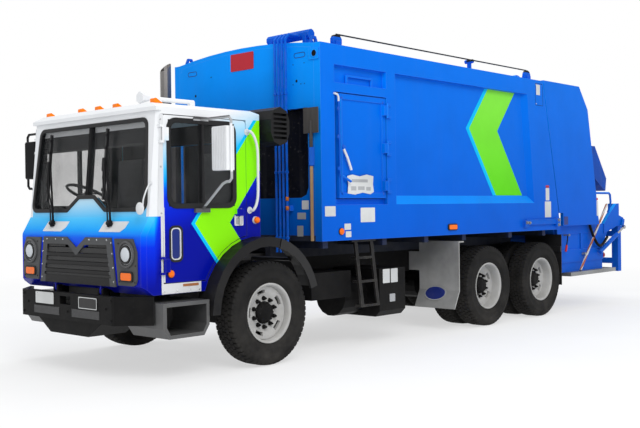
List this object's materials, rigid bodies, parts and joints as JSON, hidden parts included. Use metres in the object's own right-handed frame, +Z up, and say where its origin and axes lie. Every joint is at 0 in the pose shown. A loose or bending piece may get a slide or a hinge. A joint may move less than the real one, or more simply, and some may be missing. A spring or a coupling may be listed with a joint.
{
  "type": "garbage truck",
  "caption": "Rear-loading garbage truck with a low tilting cab, hoist gear on the roof, an open packer tailgate and a bin lifter, blue with lime chevron stripes",
  "frame": {"origin": "On the road, under the middle of the truck's length and width", "axes": "+X to the rear along the truck, +Y to its right side, +Z up"},
  "size_m": [9.656, 3.03, 3.511],
  "materials": {
    "tyre": "worn black rubber",
    "wheel_grey": "light grey paint, dusty",
    "frame_black": "black frame paint, dusty",
    "engine_grey": "painted casting",
    "rubber_black": "matt black",
    "guard_grey": "pale sheet",
    "exhaust_steel": "heat stained steel",
    "plastic_black": "matt black",
    "body_blue": "gloss blue paint with lime chevron stripes on the left",
    "cab_paint": "white paint fading down to royal blue",
    "cab_floor_grey": "rubber floor covering",
    "glass_clear": "clear glass",
    "lamp_lens": "clear and amber lenses",
    "lamp_amber": "amber lens",
    "lamp_red": "red lens",
    "seat_vinyl": "dark vinyl",
    "packer_steel": "scraped blue paint",
    "gear_steel": "blue paint, chipped",
    "rod_steel": "oiled rod",
    "mirror_white": "white paint",
    "shovel_steel": "worn steel",
    "step_zinc": "galvanised tread"
  },
  "bodies": {
    "chassis": {"frame_rails": "frame_black", "front_bumper": "frame_black", "engine_block": "engine_grey", "front_axle_beam": "frame_black", "rear_axles": "frame_black", "side_tanks": "frame_black", "steps_and_ladder": "frame_black", "fenders_and_flaps": "rubber_black", "mudguards": "guard_grey", "exhaust_stack": "exhaust_steel", "air_cleaner": "plastic_black", "body_floor": "body_blue", "body_side_left": "body_blue", "body_side_right": "body_blue", "body_roof": "body_blue", "body_front_wall": "body_blue", "hoist_gear_and_pipes": "gear_steel", "shovel": "shovel_steel", "body_lamps": "lamp_amber"},
    "cab": {"cab_front": "cab_paint", "cab_shell": "cab_paint", "cab_roof": "cab_paint", "cab_floor": "cab_floor_grey", "windshield": "glass_clear", "cab_trim": "plastic_black", "cab_lamps": "lamp_lens", "cab_interior": "plastic_black", "seats": "seat_vinyl"},
    "door_left": {"door_left": "cab_paint", "door_glass_left": "glass_clear", "mirror_left": "mirror_white"},
    "door_right": {"door_right": "cab_paint", "door_glass_right": "glass_clear", "mirror_right": "plastic_black"},
    "steering_left": {"knuckle_left": "frame_black"},
    "steering_right": {"knuckle_right": "frame_black"},
    "wheel_front_left": {"tyre_front_left": "tyre", "rim_front_left": "wheel_grey"},
    "wheel_front_right": {"tyre_front_right": "tyre", "rim_front_right": "wheel_grey"},
    "wheels_mid_left": {"tyres_mid_left": "tyre", "rims_mid_left": "wheel_grey"},
    "wheels_mid_right": {"tyres_mid_right": "tyre", "rims_mid_right": "wheel_grey"},
    "wheels_rear_left": {"tyres_rear_left": "tyre", "rims_rear_left": "wheel_grey"},
    "wheels_rear_right": {"tyres_rear_right": "tyre", "rims_rear_right": "wheel_grey"},
    "side_door": {"access_door": "body_blue"},
    "ejector": {"ejector_panel": "packer_steel"},
    "tailgate": {"tailgate_shell": "body_blue", "hopper": "body_blue", "rear_step": "step_zinc", "tailgate_lamps": "lamp_red"},
    "carriage": {"packer_carriage": "packer_steel"},
    "blade": {"packer_blade": "packer_steel"},
    "lifter": {"lifter": "body_blue"},
    "cylinder_barrels": {"lifter_barrels": "gear_steel"},
    "cylinder_rods": {"lifter_rods": "rod_steel"}
  },
  "joints": [
    {"name": "cab_tilt", "type": "hinge", "parent": "chassis", "child": "cab", "pos_m": [-4.662, 0, 0.8], "axis": [0, -1, 0], "range_deg": [0, 50]},
    {"name": "door_left_hinge", "type": "hinge", "parent": "cab", "child": "door_left", "pos_m": [-4.462, -1.084, 1.65], "axis": [0, 0, -1], "range_deg": [0, 70]},
    {"name": "door_right_hinge", "type": "hinge", "parent": "cab", "child": "door_right", "pos_m": [-4.462, 1.084, 1.65], "axis": [0, 0, 1], "range_deg": [0, 70]},
    {"name": "steer_left", "type": "hinge", "parent": "chassis", "child": "steering_left", "pos_m": [-3.262, -0.885, 0.52], "axis": [0, 0, 1], "range_deg": [-30, 30]},
    {"name": "steer_right", "type": "hinge", "parent": "chassis", "child": "steering_right", "pos_m": [-3.262, 0.885, 0.52], "axis": [0, 0, 1], "range_deg": [-30, 30]},
    {"name": "wheel_front_left_spin", "type": "hinge", "parent": "steering_left", "child": "wheel_front_left", "pos_m": [-3.262, -1.08, 0.52], "axis": [0, 1, 0], "continuous": true},
    {"name": "wheel_front_right_spin", "type": "hinge", "parent": "steering_right", "child": "wheel_front_right", "pos_m": [-3.262, 1.08, 0.52], "axis": [0, 1, 0], "continuous": true},
    {"name": "wheels_mid_left_spin", "type": "hinge", "parent": "chassis", "child": "wheels_mid_left", "pos_m": [0.667, -0.93, 0.52], "axis": [0, 1, 0], "continuous": true},
    {"name": "wheels_mid_right_spin", "type": "hinge", "parent": "chassis", "child": "wheels_mid_right", "pos_m": [0.667, 0.93, 0.52], "axis": [0, 1, 0], "continuous": true},
    {"name": "wheels_rear_left_spin", "type": "hinge", "parent": "chassis", "child": "wheels_rear_left", "pos_m": [2.01, -0.93, 0.52], "axis": [0, 1, 0], "continuous": true},
    {"name": "wheels_rear_right_spin", "type": "hinge", "parent": "chassis", "child": "wheels_rear_right", "pos_m": [2.01, 0.93, 0.52], "axis": [0, 1, 0], "continuous": true},
    {"name": "side_door_hinge", "type": "hinge", "parent": "chassis", "child": "side_door", "pos_m": [-1.417, -1.238, 2.225], "axis": [0, 0, 1], "range_deg": [0, 110]},
    {"name": "ejector_slide", "type": "slide", "parent": "chassis", "child": "ejector", "axis": [1, 0, 0], "range_m": [0, 3.9]},
    {"name": "tailgate_hinge", "type": "hinge", "parent": "chassis", "child": "tailgate", "pos_m": [2.12, 0, 3.4], "axis": [0, -1, 0], "range_deg": [0, 85]},
    {"name": "carriage_slide", "type": "slide", "parent": "tailgate", "child": "carriage", "axis": [0.45, 0, -0.893], "range_m": [0, 0.38]},
    {"name": "blade_hinge", "type": "hinge", "parent": "carriage", "child": "blade", "pos_m": [3.698, 0, 2.23], "axis": [0, 1, 0], "range_deg": [0, 75]},
    {"name": "lifter_hinge", "type": "hinge", "parent": "tailgate", "child": "lifter", "pos_m": [4.783, 0, 1.29], "axis": [0, -1, 0], "range_deg": [0, 110]},
    {"name": "barrel_pivot", "type": "hinge", "parent": "tailgate", "child": "cylinder_barrels", "pos_m": [3.906, 0, 0.833], "axis": [0, -1, 0], "range_deg": [-2.5, 1]},
    {"name": "rod_slide", "type": "slide", "parent": "cylinder_barrels", "child": "cylinder_rods", "axis": [0.9178, 0, 0.397], "range_m": [0, 0.19]}
  ],
  "couplings": [
    {"joint": "steer_right", "follows": "steer_left", "ratio": 1},
    {"joint": "rod_slide", "follows": "lifter_hinge", "m_per_rad": 0.0976}
  ]
}
